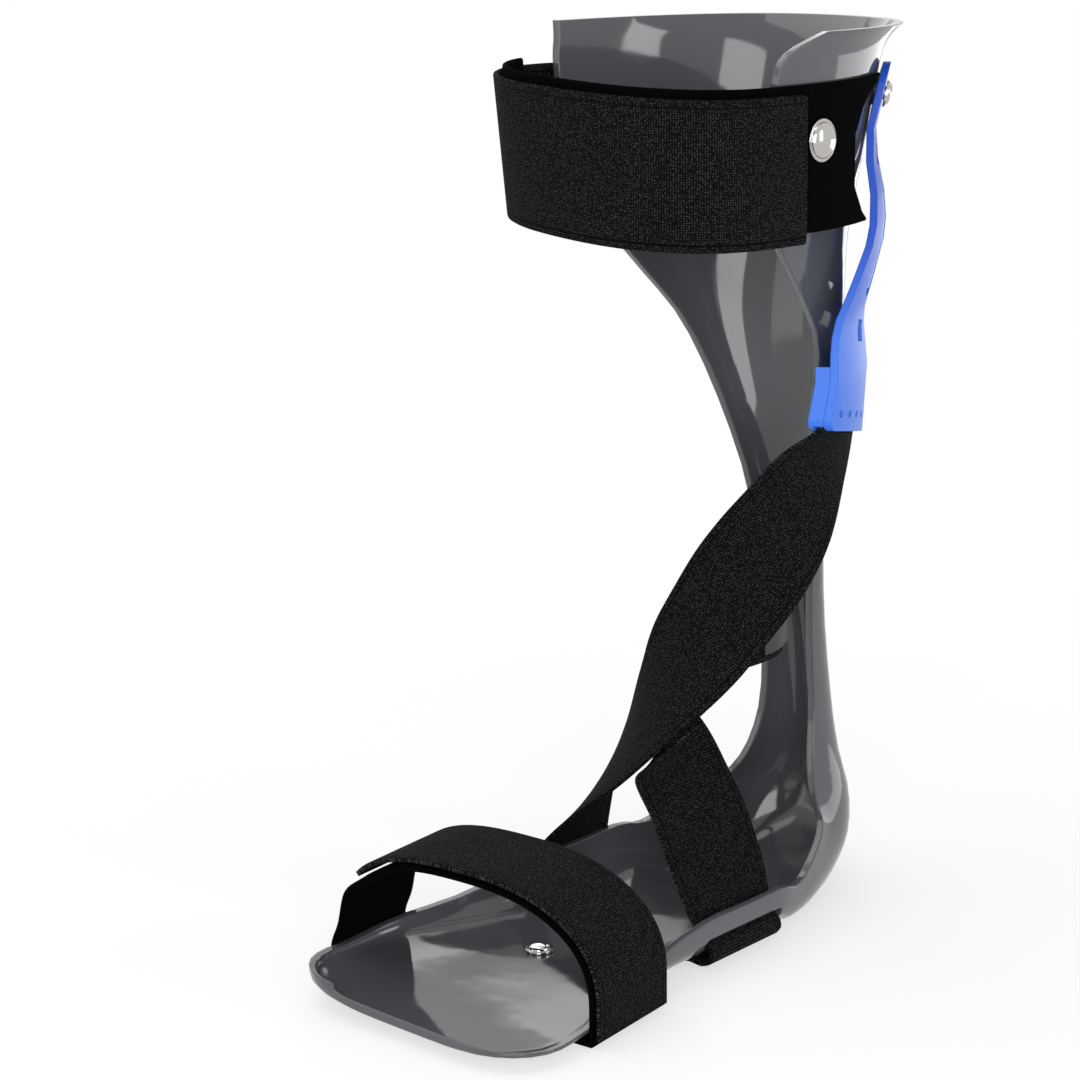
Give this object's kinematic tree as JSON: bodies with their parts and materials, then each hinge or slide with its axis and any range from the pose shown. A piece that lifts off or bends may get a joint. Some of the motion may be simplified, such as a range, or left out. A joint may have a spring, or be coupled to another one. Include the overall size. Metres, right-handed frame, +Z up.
{
  "type": "ankle foot orthosis",
  "caption": "Left ankle foot orthosis: moulded grey shell, hook-and-loop calf and forefoot straps, and a diagonal foot-lift strap on a swivelling blue adjuster plate.",
  "frame": {"origin": "centre of the heel's flat underside", "axes": "+Z up along the leg, -Y towards the toes, +X to the wearer's left, the lateral side"},
  "size_m": [0.1174, 0.2357, 0.321],
  "materials": {
    "shell_plastic": "moulded, glossy",
    "webbing": "woven loop webbing",
    "velvet": "brushed velvet",
    "hook_tape": "moulded hooks",
    "chrome_steel": "polished",
    "blue_plastic": "satin",
    "light_blue_plastic": "satin"
  },
  "bodies": {
    "brace": {"shell": "shell_plastic", "calf_strap_loop": "velvet", "calf_strap_anchor": "webbing", "calf_rivet_caps": "chrome_steel", "calf_rivet_posts": "chrome_steel", "calf_rivet_washers": "chrome_steel", "swivel_rivet_cap": "chrome_steel", "swivel_rivet_post": "chrome_steel", "swivel_washer": "chrome_steel", "instep_strap": "webbing", "sole_strap": "webbing", "stirrup_strap": "webbing", "stirrup_hook_tape": "hook_tape", "forefoot_strap_loop": "velvet", "forefoot_rivet_cap": "chrome_steel", "forefoot_rivet_post": "chrome_steel", "forefoot_rivet_washer": "chrome_steel"},
    "adjuster": {"adjuster_plate": "blue_plastic", "adjuster_latch": "light_blue_plastic", "strap_clamp": "blue_plastic"},
    "calf_flap": {"calf_strap_hook": "webbing", "calf_hook_tape": "hook_tape"},
    "forefoot_flap": {"forefoot_strap_hook": "webbing", "forefoot_hook_tape": "hook_tape"},
    "ankle_flap": {"ankle_strap": "webbing", "ankle_hook_tape": "hook_tape"}
  },
  "joints": [
    {"name": "adjuster_swivel", "type": "hinge", "parent": "brace", "child": "adjuster", "pos_m": [0.03586, 0.03254, 0.297], "axis": [-0.8015, -0.5607, 0.2079], "range_deg": [0, 20], "deforming": ["instep_strap"]},
    {"name": "calf_strap_open", "type": "hinge", "parent": "brace", "child": "calf_flap", "pos_m": [-0.06326, -0.03264, 0.276], "axis": [0, 0, -1], "range_deg": [0, 100]},
    {"name": "forefoot_strap_open", "type": "hinge", "parent": "brace", "child": "forefoot_flap", "pos_m": [0.05038, -0.11947, 0.003], "axis": [-0.0993, 0.9951, 0], "range_deg": [0, 85]},
    {"name": "ankle_strap_swing", "type": "hinge", "parent": "brace", "child": "ankle_flap", "pos_m": [0.0094, -0.03749, 0.11254], "axis": [0, 0.3011, 0.9536], "range_deg": [0, 45]}
  ]
}
